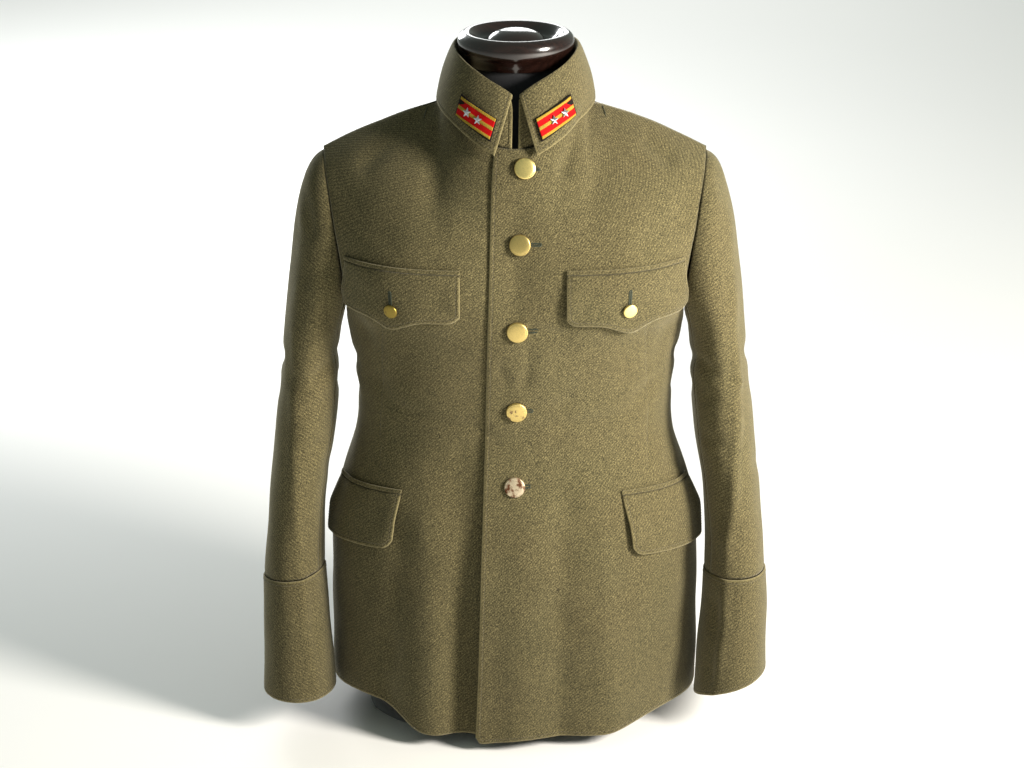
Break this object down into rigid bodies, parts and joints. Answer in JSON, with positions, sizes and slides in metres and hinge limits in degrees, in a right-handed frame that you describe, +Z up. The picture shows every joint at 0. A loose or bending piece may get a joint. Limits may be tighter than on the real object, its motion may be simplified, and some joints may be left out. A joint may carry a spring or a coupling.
{
  "type": "military tunic on dress form",
  "caption": "Single-breasted wool officer's tunic with stand-and-fall collar, rank tabs, flapped pockets and brass buttons, on a limbless dress form with a turned neck cap",
  "frame": {"origin": "the middle of the dress form's flat underside", "axes": "+Z up, the front faces -Y, the wearer's left is at +X"},
  "size_m": [0.55, 0.2789, 0.7578],
  "materials": {
    "tunic_wool": "olive-khaki wool twill with a short nap",
    "tab_cloth": "red felt with gold braid",
    "button_brass": "worn satin brass",
    "star_metal": "bright silvered metal",
    "form_cloth": "dark grey knitted cover",
    "cap_lacquer": "turned wood, dark glossy lacquer"
  },
  "bodies": {
    "root": {"back_left": "tunic_wool", "back_right": "tunic_wool", "breast_flap_left": "tunic_wool", "breast_flap_right": "tunic_wool", "breast_welt_left": "tunic_wool", "breast_welt_right": "tunic_wool", "collar_fall": "tunic_wool", "collar_stand": "tunic_wool", "cuff_left": "tunic_wool", "cuff_right": "tunic_wool", "form_torso": "form_cloth", "front_button_1": "button_brass", "front_button_2": "button_brass", "front_button_3": "button_brass", "front_button_4": "button_brass", "front_button_5": "button_brass", "front_left": "tunic_wool", "front_right": "tunic_wool", "lower_flap_left": "tunic_wool", "lower_flap_right": "tunic_wool", "lower_welt_left": "tunic_wool", "lower_welt_right": "tunic_wool", "neck_cap": "cap_lacquer", "pocket_button_left": "button_brass", "pocket_button_right": "button_brass", "rank_tab_left": "tab_cloth", "rank_tab_right": "tab_cloth", "sleeve_under_left": "tunic_wool", "sleeve_under_right": "tunic_wool", "sleeve_upper_left": "tunic_wool", "sleeve_upper_right": "tunic_wool", "star_left_1": "star_metal", "star_left_2": "star_metal", "star_right_1": "star_metal", "star_right_2": "star_metal"}
  },
  "joints": []
}
